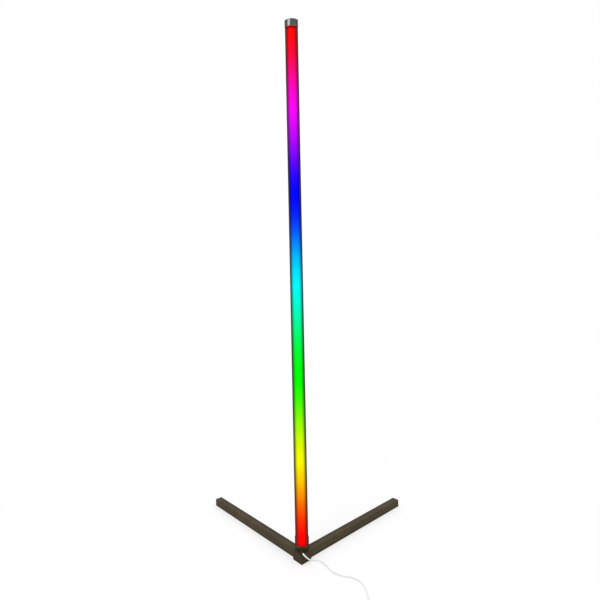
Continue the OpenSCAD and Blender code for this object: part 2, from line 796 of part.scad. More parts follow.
module corner_block() {
    color(steel_dark) difference() {
        union() {
            soft_box([block_w, block_w, block_h], block_round, block_edge, pad_t);
            spigot();
            left_side() spigot();
        }
        for (side = [-1, 1]) on_diagonal() translate([floor_screw_s, side * floor_screw_side, 0])
            rod(screw_r + screw_clear, floor_screw_z - screw_clear, block_top + cut);
        at_leg_screws() rod(leg_screw_r + screw_clear, 0, leg_screw_l + screw_clear);
        left_side() at_leg_screws() rod(leg_screw_r + screw_clear, 0, leg_screw_l + screw_clear);
    }
}
module spigot() {
    translate([0, 0, leg_z]) bar(block_half + spigot_l, spigot_w, leg_round / 2);
}

module leg_tube() {
    color(steel_dark) difference() {
        translate([block_half, 0, leg_z]) bar(leg_reach - end_cap_t - block_half, leg_w, leg_round);
        translate([0, 0, leg_z]) bar(leg_reach + cut, leg_inner_w, leg_round / 2);
        at_leg_screws() rod(leg_screw_r + screw_clear, -cut, leg_wall + cut);
    }
}
module leg_tube_right() { leg_tube(); }
module leg_tube_left() { left_side() leg_tube(); }

module leg_end_cap() {
    color(steel_dark) translate([leg_reach - end_cap_t, 0, leg_z]) {
        rotate([0, 90, 0]) between(0, end_cap_t)
            soft_box([leg_w, leg_w, 2 * end_cap_t], leg_round, end_cap_edge, -end_cap_t);
        translate([-end_plug_l, 0, 0]) bar(end_plug_l + end_cap_t / 2, spigot_w, leg_round / 2);
    }
}
module leg_end_cap_right() { leg_end_cap(); }
module leg_end_cap_left() { left_side() leg_end_cap(); }

module leg_screws() {
    color(zinc) at_leg_screws() pan_screw(leg_screw_r, leg_screw_l, leg_head_r, leg_head_h);
}
module leg_screws_right() { leg_screws(); }
module leg_screws_left() { left_side() leg_screws(); }

module foot_pad_corner() {
    color(rubber) rounded_box([corner_pad_w, corner_pad_w, pad_t], block_round, 0);
}
module leg_pad() {
    color(rubber) translate([leg_reach - leg_pad_in - leg_pad_l / 2, 0, 0])
        rounded_box([leg_pad_l, leg_pad_w, pad_t], block_round, 0);
}
module foot_pad_right() { leg_pad(); }
module foot_pad_left() { left_side() leg_pad(); }

module cord_lead() { color(cord_white) tube(lead_path, cord_r, 8); }
module cord_coil() { color(cord_white) tube(coil_path, cord_r, 6); }
module cord_link() { color(cord_white) tube(link_path, cord_r, 8); }
module cord_tail() { color(cord_white) tube(tail_path, cord_r, 8); }

// A flat band round the coil's bundle of turns
module coil_tie() {
    in = coil_r_in - cord_r - tie_clear;
    out = coil_r_out + cord_r + tie_clear;
    high = coil_high + cord_r + tie_clear;
    color(rubber) translate([coil_at[0], coil_at[1], 0]) rotate([0, 0, tie_angle]) difference() {
        translate([in - tie_t, -tie_w / 2, 0]) cube([out - in + 2 * tie_t, tie_w, high + tie_t]);
        translate([in, -tie_w / 2 - cut, tie_t]) cube([out - in, tie_w + 2 * cut, high - tie_t]);
    }
}

// The controller's parts are drawn about its middle, with its length along Y
module at_controller() {
    translate([ctrl_at[0], ctrl_at[1], 0]) children();
}
// One half shell between two heights, hollow up to the wall thickness
module half_shell(z0, z1, hollow_z0, hollow_z1) {
    difference() {
        between(z0, z1) soft_box([ctrl_w, ctrl_l, ctrl_h], ctrl_round, ctrl_edge, 0);
        rounded_box(
            [ctrl_w - 2 * ctrl_wall, ctrl_l - 2 * ctrl_wall, hollow_z1 - hollow_z0],
            ctrl_round - ctrl_wall, hollow_z0
        );
        for (turn = [-90, 90]) translate([0, 0, ctrl_mid]) rotate([turn, 0, 0])
            rod(grommet_neck_r + screw_clear, ctrl_half - ctrl_wall - cut, ctrl_half + cut);
    }
}
// Places of the four posts under the board, on one side of the board's middle or the other
module at_posts() {
    for (x = [-1, 1], y = [-1, 1])
        translate([x * (board_w / 2 - post_in), y * (board_l / 2 - post_end_in), 0]) children();
}
module controller_shell_lower() {
    color(cord_white) at_controller() difference() {
        union() {
            half_shell(0, ctrl_mid, ctrl_wall, ctrl_mid + cut);
            at_posts() rod(post_r, ctrl_wall / 2, board_z);
        }
        at_posts() rod(post_r * 0.5 + screw_clear, ctrl_wall, board_z + cut);
    }
}
module controller_shell_upper() {
    color(cord_white) at_controller() difference() {
        half_shell(ctrl_mid, ctrl_h, ctrl_mid - cut, ctrl_roof);
        for (i = [-1, 0, 1]) translate([0, i * button_pitch, 0])
            rod(button_r + button_clear, ctrl_roof - cut, ctrl_h + cut);
    }
}
module controller_grommets() {
    color(cord_white) at_controller() for (turn = [-90, 90])
        translate([0, 0, ctrl_mid]) rotate([turn, 0, 0]) {
            translate([0, 0, ctrl_half])
                cylinder(r1 = grommet_r, r2 = grommet_tip_r, h = grommet_l, $fn = 32);
            rod(grommet_neck_r, ctrl_half - ctrl_wall - grommet_flange_t, ctrl_half);
            rod(grommet_flange_r, ctrl_half - ctrl_wall - grommet_flange_t, ctrl_half - ctrl_wall);
        }
}
module controller_board() {
    color("seagreen") at_controller() difference() {
        union() {
            translate([-board_w / 2, -board_l / 2, board_z]) cube([board_w, board_l, board_t]);
            for (i = [-1, 0, 1]) translate([0, i * button_pitch, 0]) {
                translate([-switch_w / 2, -switch_w / 2, board_z + board_t / 2])
                    cube([switch_w, switch_w, switch_h + board_t / 2]);
                rod(switch_w / 4, board_top, board_top + switch_h + plunger_h);
            }
            // The driver chip, between two switches
            translate([-driver_l / 2, (button_pitch - driver_w) / 2, board_z + board_t / 2])
                cube([driver_l, driver_w, board_t / 2 + driver_h]);
        }
        at_posts() rod(post_r * 0.5 + screw_clear, board_z - cut, board_top + cut);
    }
}
module controller_screws() {
    color(zinc) at_controller() at_posts() {
        rod(post_r * 0.5, ctrl_wall + 0.2, board_top);
        rod(post_r * 0.9, board_top, board_top + 0.7);
    }
}
module controller_wires() {
    reach = ctrl_half - ctrl_wall - grommet_flange_t;
    color("firebrick") at_controller() for (turn = [-90, 90], i = [-1, 0, 1])
        translate([i * wire_pitch, 0, board_top + wire_r]) rotate([turn, 0, 0])
            rod(wire_r, board_l / 2 - 2, reach);
}

// A round button: its head, its stem and the flange that keeps it under the shell's roof
module button(index) {
    color(rubber) at_controller() translate([0, index * button_pitch, 0]) {
        rod(button_r, button_flange_top - button_flange_t, ctrl_h + button_proud);
        rod(button_r + button_flange, button_flange_top - button_flange_t, button_flange_top);
    }
}
module button_power() { button(1); }
module button_mode() { button(0); }
module button_speed() { button(-1); }

// The plug's parts are drawn about the middle of its body, with the contacts towards -Y
module at_plug() {
    translate([plug_at[0], plug_at[1], 0]) children();
}
module plug_body() {
    color(cord_white) at_plug() difference() {
        union() {
            soft_box([plug_w, plug_l, plug_h], plug_round, plug_edge, 0);
            translate([0, plug_back, plug_mid]) rotate([-90, 0, 0])
                cylinder(r1 = plug_relief_r, r2 = grommet_tip_r, h = plug_relief_l, $fn = 32);
        }
        translate([-shell_w / 2 - screw_clear, plug_front - cut, plug_mid - shell_h / 2 - screw_clear])
            cube([shell_w + 2 * screw_clear, shell_in + cut, shell_h + 2 * screw_clear]);
    }
}
module plug_shell() {
    inner_w = shell_w - 2 * shell_wall;
    inner_h = shell_h - 2 * shell_wall;
    color(zinc) at_plug() difference() {
        translate([-shell_w / 2, plug_front - shell_out, plug_mid - shell_h / 2])
            cube([shell_w, shell_out + shell_in, shell_h]);
        translate([-inner_w / 2, plug_front - shell_out - cut, plug_mid - inner_h / 2])
            cube([inner_w, shell_out + shell_in + 2 * cut, inner_h]);
        // The two square windows in each broad face
        for (side = [-1, 1]) translate([side * shell_w / 4 - 1.1, plug_front - shell_out / 2 - 1.2, -cut])
            cube([2.2, 2.4, plug_h + 2 * cut]);
    }
}
module plug_insert() {
    inner_w = shell_w - 2 * shell_wall - 2 * screw_clear;
    color(milky) at_plug()
        translate([-inner_w / 2, plug_front - shell_out + 0.6, plug_mid - shell_h / 2 + shell_wall])
            cube([inner_w, shell_out + shell_in - 0.6, insert_t]);
}
module plug_contacts() {
    color(gold) at_plug() for (x = [-3.5, -1, 1, 3.5])
        translate([
            x - contact_w / 2, plug_front - shell_out + 1.4,
            plug_mid - shell_h / 2 + shell_wall + insert_t
        ]) cube([contact_w, shell_out + shell_in - 1.4, contact_t]);
}

corner_block();
socket_bracket();
bracket_screws();
socket_screws();
leg_tube_right();
leg_tube_left();
leg_end_cap_right();
leg_end_cap_left();
leg_screws_right();
leg_screws_left();
foot_pad_corner();
foot_pad_right();
foot_pad_left();
profile_lower();
profile_middle();
profile_upper();
joint_key_lower();
joint_key_upper();
joint_grub_screws();
light_strip();
light_chips();
diffuser();
top_cap();
bottom_cap();
feed_wires();
strain_relief();
cord_lead();
cord_coil();
cord_link();
cord_tail();
coil_tie();
controller_shell_lower();
controller_shell_upper();
controller_grommets();
controller_board();
controller_wires();
controller_screws();
button_power();
button_mode();
button_speed();
plug_body();
plug_shell();
plug_insert();
plug_contacts();
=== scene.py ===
# %% [markdown]
# # A corner floor lamp, dressed for the studio
# The lamp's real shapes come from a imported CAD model: two square floor legs, a corner block, a slim
# column with a lit front, a metal cap and a thin cord. Here we give them their finishes, wind the
# cord smoothly, set the light and place the camera. The scene is measured in metres. The lamp's own
# pieces are easier to read in millimetres, so they are written that way, and multiplied by mm where
# they go into a mesh or a finish.

# %% Load the frame
import math
import bmesh
import bpy
from mathutils import Matrix, Vector


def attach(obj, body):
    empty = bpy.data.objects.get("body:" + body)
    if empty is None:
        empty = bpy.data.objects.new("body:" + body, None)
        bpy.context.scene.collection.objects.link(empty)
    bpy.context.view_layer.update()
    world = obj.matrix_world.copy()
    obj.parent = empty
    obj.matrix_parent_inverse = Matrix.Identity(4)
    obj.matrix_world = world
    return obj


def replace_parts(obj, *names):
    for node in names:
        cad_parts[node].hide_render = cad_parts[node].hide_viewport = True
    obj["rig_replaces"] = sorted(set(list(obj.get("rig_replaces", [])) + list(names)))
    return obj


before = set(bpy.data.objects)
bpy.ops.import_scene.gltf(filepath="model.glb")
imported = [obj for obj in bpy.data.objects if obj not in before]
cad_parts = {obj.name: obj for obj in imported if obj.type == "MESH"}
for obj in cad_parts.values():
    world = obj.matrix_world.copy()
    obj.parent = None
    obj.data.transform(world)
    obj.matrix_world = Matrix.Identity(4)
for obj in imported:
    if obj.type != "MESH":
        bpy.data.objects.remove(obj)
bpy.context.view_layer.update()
mm = 0.001
scene = bpy.context.scene
scene.view_settings.view_transform = "Standard"
print("nodes:", len(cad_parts))

# %% [markdown]
# ## The camera
# The photograph was taken from in front of the lit corner, from a little under half the lamp's
# height, with a level lens and a slight tilt of the frame. Such a view could be found by eye, but
# the column's lean and the directions of the two legs give it exactly: they meet in vanishing
# points, which fix the turn, the height and the focal length together.

# %% Place the camera
camera_azimuth = math.radians(-41.64)
camera_away = 0.9343
camera_height = 0.5772
camera_turn = 0.0073
camera_tilt = 0.0205
focal_pixels = 420.57
frame_pixels = 600

camera_data = bpy.data.cameras.new("camera")
camera_data.sensor_width = 36
camera_data.lens = camera_data.sensor_width * focal_pixels / frame_pixels
camera_data.clip_start = 0.01
camera_data.clip_end = 100
camera = bpy.data.objects.new("camera", camera_data)
scene.collection.objects.link(camera)
scene.camera = camera
camera.matrix_world = (
    Matrix.Translation((
        camera_away * math.sin(camera_azimuth),
        -camera_away * math.cos(camera_azimuth),
        camera_height,
    ))
    @ Matrix.Rotation(camera_azimuth - camera_turn, 4, "Z")
    @ Matrix.Rotation(math.pi / 2, 4, "X")
    @ Matrix.Rotation(-camera_tilt, 4, "Z")
)
print("lens:", round(camera_data.lens, 2), "mm")

# %% [markdown]
# ## The cord's route
# The cord leaves the socket's foot, drops over the corner block's edge and wanders across the floor.
# What the photograph doesn't show is stored in a neat coil of two layers beside the picture's edge.
# A few listed points give the free stretches, and a formula gives the coil: the radius shrinks
# and grows steadily, and the height climbs in the half turn where the spiral reverses.

# %% Points of the free stretches, in millimetres
cord_d = 3.2
lie = 1.7
back = 10.2
relief_reach = 24.4
relief_tip = back - relief_reach / math.sqrt(2)
exit_z = 25.8
tip = Vector((relief_tip, relief_tip, exit_z))
out_dir = Vector((-1, -1, 0)).normalized()

lead_points = [
    (-10.5, -11.6, 25.8), (-11.1, -14.3, 25), (-10.7, -16.8, 23.4), (-9.2, -18.9, 21),
    (-6.9, -20.1, 18.1), (-4, -20.3, 14.9), (-0.9, -19.8, 11.7), (2.5, -19.1, 8.7),
    (6.3, -18.6, 5.9), (10.4, -18.6, 3.5), (14.7, -19.8, 2.1), (18.5, -22.6, lie),
    (21.5, -26.7, lie), (23.5, -32, lie), (24.2, -38, lie), (23.7, -45, lie), (22.2, -53, lie),
    (20, -61, lie), (18.2, -69, lie), (17.4, -78, lie), (18.2, -87, lie), (21, -96, lie),
    (25.5, -104, lie), (30.5, -112, lie), (34, -120, lie), (36, -129, lie), (35.5, -138, lie),
    (32.5, -147, lie), (28, -155, lie), (22.5, -163, lie), (16.5, -171, lie), (10, -179, lie),
    (3.5, -187, lie), (-2.5, -195, lie), (-8.5, -203, 2.1),
]
link_points = [
    (-50.5, -223.4, 6), (-57.5, -221.6, 5.4), (-63.8, -218.2, 4.6), (-69.4, -213.8, 4.1),
    (-73.8, -208.4, 4.2),
]
tail_points = [
    (-77, -129, 4), (-77, -123, 2.4), (-78.5, -116.5, lie), (-82.5, -111.5, lie),
    (-88.5, -109.5, lie), (-94.5, -111.5, lie), (-98.5, -116.5, lie), (-100, -123, 2.2),
    (-100, -130, 3.4),
]
print("points placed by hand:", len(lead_points) + len(link_points) + len(tail_points))

# %% The stored coil
coil_at = Vector((-38, -198, 0))
coil_middle = -65
coil_sweep = 1470
coil_step = 10
climb_sweep = 180
coil_r_in = 11.5
coil_gap = 0.55
coil_pitch = cord_d + coil_gap
tie_t = 0.6
tie_clear = 0.3
coil_low = tie_t + tie_clear + cord_d / 2


def coil_point(turned):
    """A point of the coil's middle line; turned is in degrees, from the middle of the climb."""
    radius = coil_r_in + coil_pitch * abs(turned) / 360
    climb = min(max((turned + climb_sweep / 2) / climb_sweep, 0), 1)
    angle = math.radians(coil_middle - turned)
    offset = Vector((radius * math.cos(angle), radius * math.sin(angle), coil_low + coil_pitch * climb))
    return coil_at + offset


def coil_heading(turned):
    """The direction in which the cord runs at that place of the coil."""
    angle = math.radians(coil_middle - turned)
    return Vector((math.sin(angle), -math.cos(angle), 0))


coil_turns = [coil_point(turned) for turned in range(-coil_sweep, coil_sweep + 1, coil_step)]
coil_start = coil_turns[0] - cord_d * coil_heading(-coil_sweep)
coil_end = coil_turns[-1] + cord_d * coil_heading(coil_sweep)
print("turns in the coil:", round(2 * coil_sweep / 360, 1))

# %% The controller and plug that the cord runs through
ctrl_at = Vector((-77, -168, 0))
ctrl_half = 22
ctrl_mid = 4.75
grommet_l = 9
plug_at = Vector((-100, -162, 0))
plug_mid = 4
plug_half = 12
plug_relief_l = 10
link_end = ctrl_at + Vector((0, -ctrl_half - grommet_l, ctrl_mid))
tail_start = ctrl_at + Vector((0, ctrl_half + grommet_l, ctrl_mid))
tail_end = plug_at + Vector((0, plug_half + plug_relief_l, plug_mid))
along = Vector((0, cord_d, 0))

power_route = (
    [tip, tip + cord_d * out_dir]
    + [Vector(p) for p in lead_points]
    + [coil_start - cord_d * coil_heading(-coil_sweep), coil_start]
    + coil_turns
    + [coil_end, coil_end + cord_d * coil_heading(coil_sweep)]
    + [Vector(p) for p in link_points]
    + [link_end - along, link_end]
)
tail_route = (
    [tail_start, tail_start + along]
    + [Vector(p) for p in tail_points]
    + [tail_end + along, tail_end]
)
print("points along the two routes:", len(power_route), "and", len(tail_route))

# %% [markdown]
# ## From points to a cord
# A real cord has no corners, so we lay a smooth line through the points before giving it thickness.
# A curve object with a round bevel is the simplest tube, and its line stays there to be measured.
# The rounding blends the straight lines between neighbouring points, two by two. So it passes through
# every point, and because its pace follows the points' own spacing, close points don't overshoot.

# %% A smooth line through points
line_step = 1.6


def smooth_line(points, most=line_step):
    """Places along a rounded line through all the points, at most `most` millimetres apart."""
    points = [Vector(p) for p in points]
    padded = [2 * points[0] - points[1]] + points + [2 * points[-1] - points[-2]]
    line = []
    for a, b, c, d in zip(padded, padded[1:], padded[2:], padded[3:]):
        ta = 0.0
        tb = ta + math.sqrt((b - a).length)
        tc = tb + math.sqrt((c - b).length)
        td = tc + math.sqrt((d - c).length)
        pieces = max(1, math.ceil((c - b).length / most))
        for step in range(pieces):
            t = tb + (tc - tb) * step / pieces
            ab = a.lerp(b, (t - ta) / (tb - ta))
            bc = b.lerp(c, (t - tb) / (tc - tb))
            cd = c.lerp(d, (t - tc) / (td - tc))
            abc = ab.lerp(bc, (t - ta) / (tc - ta))
            bcd = bc.lerp(cd, (t - tb) / (td - tb))
            line.append(abc.lerp(bcd, (t - tb) / (tc - tb)))
    line.append(points[-1])
    return line


def line_length(line):
    """The length of a line of points, in its own unit."""
    return sum((b - a).length for a, b in zip(line, line[1:]))


def make_cord(name, line, diameter):
    """A round cord as a curve of one open spline; each point's radius is the cord's own."""
    data = bpy.data.curves.new(name, "CURVE")
    data.dimensions = "3D"
    data.bevel_depth = 1.0
    data.bevel_resolution = 4
    data.use_fill_caps = True
    data.twist_mode = "MINIMUM"
    spline = data.splines.new("POLY")
    spline.points.add(len(line) - 1)
    for point, place in zip(spline.points, line):
        point.co = (*(place * mm), 1)
        point.radius = diameter / 2 * mm
    made = bpy.data.objects.new(name, data)
    scene.collection.objects.link(made)
    print(name, "is", round(line_length(line) * mm, 4), "m long, from", len(line), "points")
    return made


# %% Lay the cord
power_line = smooth_line(power_route)
tail_line = smooth_line(tail_route)
power_cord = make_cord("power_cord", power_line, cord_d)
plug_cord = make_cord("plug_cord", tail_line, cord_d)
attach(power_cord, "lamp")
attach(plug_cord, "lamp")
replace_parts(power_cord, "cord_lead", "cord_coil", "cord_link")
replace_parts(plug_cord, "cord_tail")

# %% [markdown]
# ## The cord's boot
# Where the cord leaves the socket, a soft dark boot keeps it from kinking. It has a collar against the
# socket and a few grooves, and it bends with the cord. A straight cone would look stiff, so a round
# section is swept along the cord's own line. Its radius dips at each groove, and the inside is swept
# back again, which makes the boot one closed sleeve.

# %% Helpers for meshes
sharp_angle = 40


def band_of_faces(mesh, rings, closed=False):
    """Joins neighbouring rings of vertices with faces."""
    following = rings[1:] + (rings[:1] if closed else [])
    for ring, after in zip(rings, following):
        for k in range(len(ring)):
            far = (k + 1) % len(ring)
            mesh.faces.new((ring[k], ring[far], after[far], after[k]))


def finish_mesh(name, mesh, sharp_from=None):
    """Turns a bmesh into an object; edges sharper than sharp_from degrees stay sharp."""
    bmesh.ops.recalc_face_normals(mesh, faces=mesh.faces)
    data = bpy.data.meshes.new(name)
    mesh.to_mesh(data)
    mesh.free()
    if sharp_from is not None:
        data.polygons.foreach_set("use_smooth", [True] * len(data.polygons))
        data.set_sharp_from_angle(angle=math.radians(sharp_from))
    made = bpy.data.objects.new(name, data)
    scene.collection.objects.link(made)
    print(name, "has", len(data.polygons), "faces")
    return made


# %% The boot's outline
relief_l = 4
boot_inside = 1.5
boot_collar = 1.0
boot_reach = 9.4
boot_straight = 2
bore_clear = 0.03
boot_bore = cord_d / 2 + bore_clear
neck_r = 2.05
collar_r = 2.5
taper_from = 2.3
taper_by = 0.35
groove_pitch = 1.7
groove_deep = 0.28
boot_sides = 24
boot_step = 0.2
route_under_boot = 9


def boot_radius(run):
    """The boot's radius; run is the distance along the cord from the end of its straight part."""
    if run < -relief_l:
        return neck_r
    if run < boot_collar - relief_l:
        return collar_r
    taper = taper_from - taper_by * (run + relief_l) / (boot_reach + relief_l)
    in_grooves = boot_collar - relief_l + groove_pitch / 2 < run < boot_reach - groove_pitch
    groove = max(0, math.cos(2 * math.pi * run / groove_pitch)) ** 3
    return taper - groove_deep * groove * in_grooves


print("the boot is", boot_inside + relief_l + boot_reach, "mm long")

# %% Sweep the boot


def make_boot(name):
    """A hollow sleeve from just inside the socket to where the cord comes free."""
    start = -relief_l - boot_inside
    straight = [tip + start * out_dir, tip - boot_straight * out_dir]
    line = smooth_line(straight + power_route[:route_under_boot], most=boot_step)
    mesh = bmesh.new()
    outside = []
    inside = []
    run = start
    for before, spot, after in zip(line, line[1:], line[2:]):
        run += (spot - before).length
        if run > boot_reach:
            break
        ahead = (after - before).normalized()
        aside = ahead.cross(Vector((0, 0, 1))).normalized()
        above = aside.cross(ahead)
        for rings, radius in ((outside, boot_radius(run)), (inside, boot_bore)):
            angles = [2 * math.pi * k / boot_sides for k in range(boot_sides)]
            places = [spot + radius * (math.cos(a) * aside + math.sin(a) * above) for a in angles]
            rings.append([mesh.verts.new(place * mm) for place in places])
    band_of_faces(mesh, outside + inside[::-1], closed=True)
    return finish_mesh(name, mesh, sharp_from=sharp_angle)


cord_boot = make_boot("cord_boot")
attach(cord_boot, "lamp")
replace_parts(cord_boot, "strain_relief")

# %% [markdown]
# ## The cap on the column
# The cap is a small polished casting, so every edge of it is softly rounded, most of all the two
# upright corners beside the lit front. Its plan is a quarter disc. A bevel modifier could round it,
# but one width would suit neither the rim nor the corners, so the rounded plan is drawn as arcs and
# stacked: each level of the crown is the same plan, drawn in a little further.

# %% The cap's rounded plan
column_w = 20.4
cap_gap = 0.15
cap_grow = 1.1
cap_low = 1182.8
cap_high = 1200
cap_plate = 2
cap_corner = 2.3
cap_crown = 2
cap_rim = 0.3
inner_corner = 0.1
front_steps = 40
corner_steps = 10
crown_steps = 8
rim_steps = 3


def rounded_quarter(radius, grow, corner, shrink, height):
    """Points round a quarter disc with rounded corners, drawn in by shrink."""
    near = corner - grow
    far = math.sqrt((radius - corner) ** 2 - near ** 2)
    tilt = math.degrees(math.atan2(near, far))
    small = corner - shrink
    arcs = [
        ((near, near), small, 180, 270, corner_steps, 0),
        ((far, near), small, -90, tilt, corner_steps, 0),
        ((0, 0), radius - shrink, tilt, 90 - tilt, front_steps, 1),
        ((near, far), small, 90 - tilt, 180, corner_steps, 0),
    ]
    points = []
    for (across, along_side), size, first, last, pieces, left_out in arcs:
        for step in range(left_out, pieces + 1 - left_out):
            angle = math.radians(first + (last - first) * step / pieces)
            x = back - across - size * math.cos(angle)
            y = back - along_side - size * math.sin(angle)
            points.append(Vector((x, y, height)) * mm)
    return points


# %% Stack the cap


def make_cap(name):
    """The cap with its rounded rim and crown, open below where the column goes in."""
    levels = []
    for step in range(rim_steps + 1):
        angle = math.radians(90 * step / rim_steps)
        levels.append((cap_rim * (1 - math.sin(angle)), cap_low + cap_rim * (1 - math.cos(angle))))
    for step in range(crown_steps + 1):
        angle = math.radians(90 * step / crown_steps)
        height = cap_high - cap_crown * (1 - math.sin(angle))
        levels.append((cap_crown * (1 - math.cos(angle)), height))
    mesh = bmesh.new()
    rings = []
    for height in (cap_high - cap_plate, cap_low):
        places = rounded_quarter(column_w + cap_gap, cap_gap, inner_corner, 0, height)
        rings.append([mesh.verts.new(place) for place in places])
    for shrink, height in levels:
        places = rounded_quarter(column_w + cap_grow, cap_grow, cap_corner, shrink, height)
        rings.append([mesh.verts.new(place) for place in places])
    band_of_faces(mesh, rings)
    mesh.faces.new(rings[0])
    mesh.faces.new(rings[-1])
    return finish_mesh(name, mesh, sharp_from=sharp_angle)


column_cap = make_cap("column_cap")
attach(column_cap, "lamp")
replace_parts(column_cap, "top_cap")

# %% [markdown]
# ## The coil's tie
# A woven hook-and-loop band holds the turns together. It could stay a plain ring, but a real band has
# two thicknesses where its end laps over itself, and the lap lifts a little. So we sweep a flat
# rounded section round the bundle and let the last stretch climb onto the first.

# %% The band's loop
tie_rounding = 2.2
bend_steps = 8
coil_r_out = coil_r_in + coil_pitch * coil_sweep / 360
coil_high = coil_low + coil_pitch
tie_top = coil_high + cord_d / 2 + tie_clear + tie_t


def tie_path():
    """The band's loop in its own plane: across the bundle, and up."""
    low = coil_r_in - cord_d / 2 - tie_clear - tie_t / 2
    high = coil_r_out + cord_d / 2 + tie_clear + tie_t / 2
    top = tie_top - tie_t / 2
    base = tie_t / 2
    corners = [Vector(corner) for corner in ((low, base), (high, base), (high, top), (low, top))]
    path = []
    for index, corner in enumerate(corners):
        before = corners[index - 1] - corner
        after = corners[(index + 1) % len(corners)] - corner
        start = corner + before.normalized() * tie_rounding
        end = corner + after.normalized() * tie_rounding
        for step in range(bend_steps + 1):
            t = step / bend_steps
            path.append((1 - t) ** 2 * start + 2 * t * (1 - t) * corner + t ** 2 * end)
    return path


print("the bundle is", round(coil_r_out - coil_r_in + cord_d, 1), "mm across and two turns high")

# %% Wrap the band round the bundle
tie_w = 4
tie_angle = math.radians(100)
lap_t = 0.45
lap_steps = 8
lap_share = 0.8
lap_inset = 0.05
lap_above = 0.03
lift_from = 0.8
lift_high = 0.35


def make_tie(name):
    """The band as one closed mesh, with its lapped end on top."""
    loop = tie_path()
    mesh = bmesh.new()
    turn = Matrix.Rotation(tie_angle, 4, "Z")
    rings = []
    for index, place in enumerate(loop):
        ahead = loop[(index + 1) % len(loop)] - loop[index - 1]
        side = Vector((ahead.y, -ahead.x)).normalized()
        ring = []
        for depth, width in ((-1, -1), (1, -1), (1, 1), (-1, 1)):
            flat = place + side * depth * tie_t / 2
            local = Vector((flat.x, width * tie_w / 2, flat.y))
            ring.append(mesh.verts.new((coil_at + turn @ local) * mm))
        rings.append(ring)
    band_of_faces(mesh, rings, closed=True)
    lap_rings = []
    for step in range(lap_steps + 1):
        t = step / lap_steps
        x = coil_r_in + t * (coil_r_out - coil_r_in) * lap_share
        height = tie_top + lap_above + lift_high * (max(0, t - lift_from) / (1 - lift_from)) ** 2
        ring = []
        for depth, width in ((0, -1), (lap_t, -1), (lap_t, 1), (0, 1)):
            local = Vector((x, width * (tie_w / 2 - lap_inset), height + depth))
            ring.append(mesh.verts.new((coil_at + turn @ local) * mm))
        lap_rings.append(ring)
    band_of_faces(mesh, lap_rings)
    mesh.faces.new(lap_rings[0])
    mesh.faces.new(lap_rings[-1])
    return finish_mesh(name, mesh)


coil_band = make_tie("coil_band")
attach(coil_band, "lamp")
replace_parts(coil_band, "coil_tie")

# %% [markdown]
# ## The push buttons
# Each button is a small silicone cap with a flange that the shell holds down. Its edge is rounded and
# its top is dished, so that a fingertip finds it. Such a piece is turned: an outline of radius and
# height is spun round an upright axis. Spin in bmesh does the same, but its seam needs merging
# afterwards, so the rings are placed directly.

# %% The button's outline
button_r = 3
button_top = 10.5
button_edge = 0.4
button_dish = 0.3
flange_r = 3.8
flange_low = 7.2
flange_high = 8
edge_steps = 5
dish_steps = 7


def button_outline():
    """Radius and height of the button's outline, from the flange's foot to the dish."""
    outline = [(flange_r, flange_low), (flange_r, flange_high), (button_r, flange_high)]
    for step in range(edge_steps + 1):
        angle = math.radians(90 * step / edge_steps)
        across = button_r - button_edge * (1 - math.cos(angle))
        outline.append((across, button_top - button_edge * (1 - math.sin(angle))))
    for step in range(1, dish_steps):
        share = 1 - step / dish_steps
        across = (button_r - button_edge) * share
        outline.append((across, button_top - button_dish * (1 - share ** 2) ** 1.5))
    return outline


# %% Turn the buttons
button_pitch = 11
button_sides = 40


def make_button(name, place):
    """A turned button standing at a place of the controller."""
    mesh = bmesh.new()
    rings = []
    for radius, height in button_outline():
        angles = [2 * math.pi * k / button_sides for k in range(button_sides)]
        spots = [place + Vector((radius * math.cos(a), radius * math.sin(a), height)) for a in angles]
        rings.append([mesh.verts.new(spot * mm) for spot in spots])
    band_of_faces(mesh, rings)
    mesh.faces.new(rings[0])
    mesh.faces.new(rings[-1])
    return finish_mesh(name, mesh, sharp_from=sharp_angle)


button_caps = []
for index, task in ((1, "power"), (0, "mode"), (-1, "speed")):
    button_cap = make_button(f"{task}_cap", ctrl_at + Vector((0, index * button_pitch, 0)))
    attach(button_cap, f"{task}_button")
    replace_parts(button_cap, f"button_{task}")
    button_caps.append(button_cap)

# %% [markdown]
# ## What the cord is
# The cord is thin and soft, so it bends round the block's edge within a few of its own widths. It runs
# through a small push-button controller, and a short tail goes on to the plug.

round(line_length(power_line) * mm, 3)
round(line_length(tail_line) * mm, 3)

# %% [markdown]
# ## Writing finishes as expressions
# A finish is a small graph of nodes. Wiring one by hand hides the idea behind it, so a socket is
# wrapped in a class that knows + - * / and powers: `1 - mask` then adds a Math node by itself.
# Every other node comes from one method, which takes its kind, its settings and its inputs.

# %% A socket that can be calculated with


class Wire:
    """One output socket of a finish, for use in expressions."""

    def __init__(self, finish, socket):
        self.finish = finish
        self.socket = socket

    def math(self, operation, first, second):
        """The answer of one Math node."""
        return self.finish.node("ShaderNodeMath", {"operation": operation}, {0: first, 1: second})

    def __add__(self, other):
        return self.math("ADD", self, other)

    def __radd__(self, other):
        return self.math("ADD", other, self)

    def __sub__(self, other):
        return self.math("SUBTRACT", self, other)

    def __rsub__(self, other):
        return self.math("SUBTRACT", other, self)

    def __mul__(self, other):
        return self.math("MULTIPLY", self, other)

    def __rmul__(self, other):
        return self.math("MULTIPLY", other, self)

    def __truediv__(self, other):
        return self.math("DIVIDE", self, other)

    def __rtruediv__(self, other):
        return self.math("DIVIDE", other, self)

    def __pow__(self, other):
        return self.math("POWER", self, other)


# %% A finish and its nodes


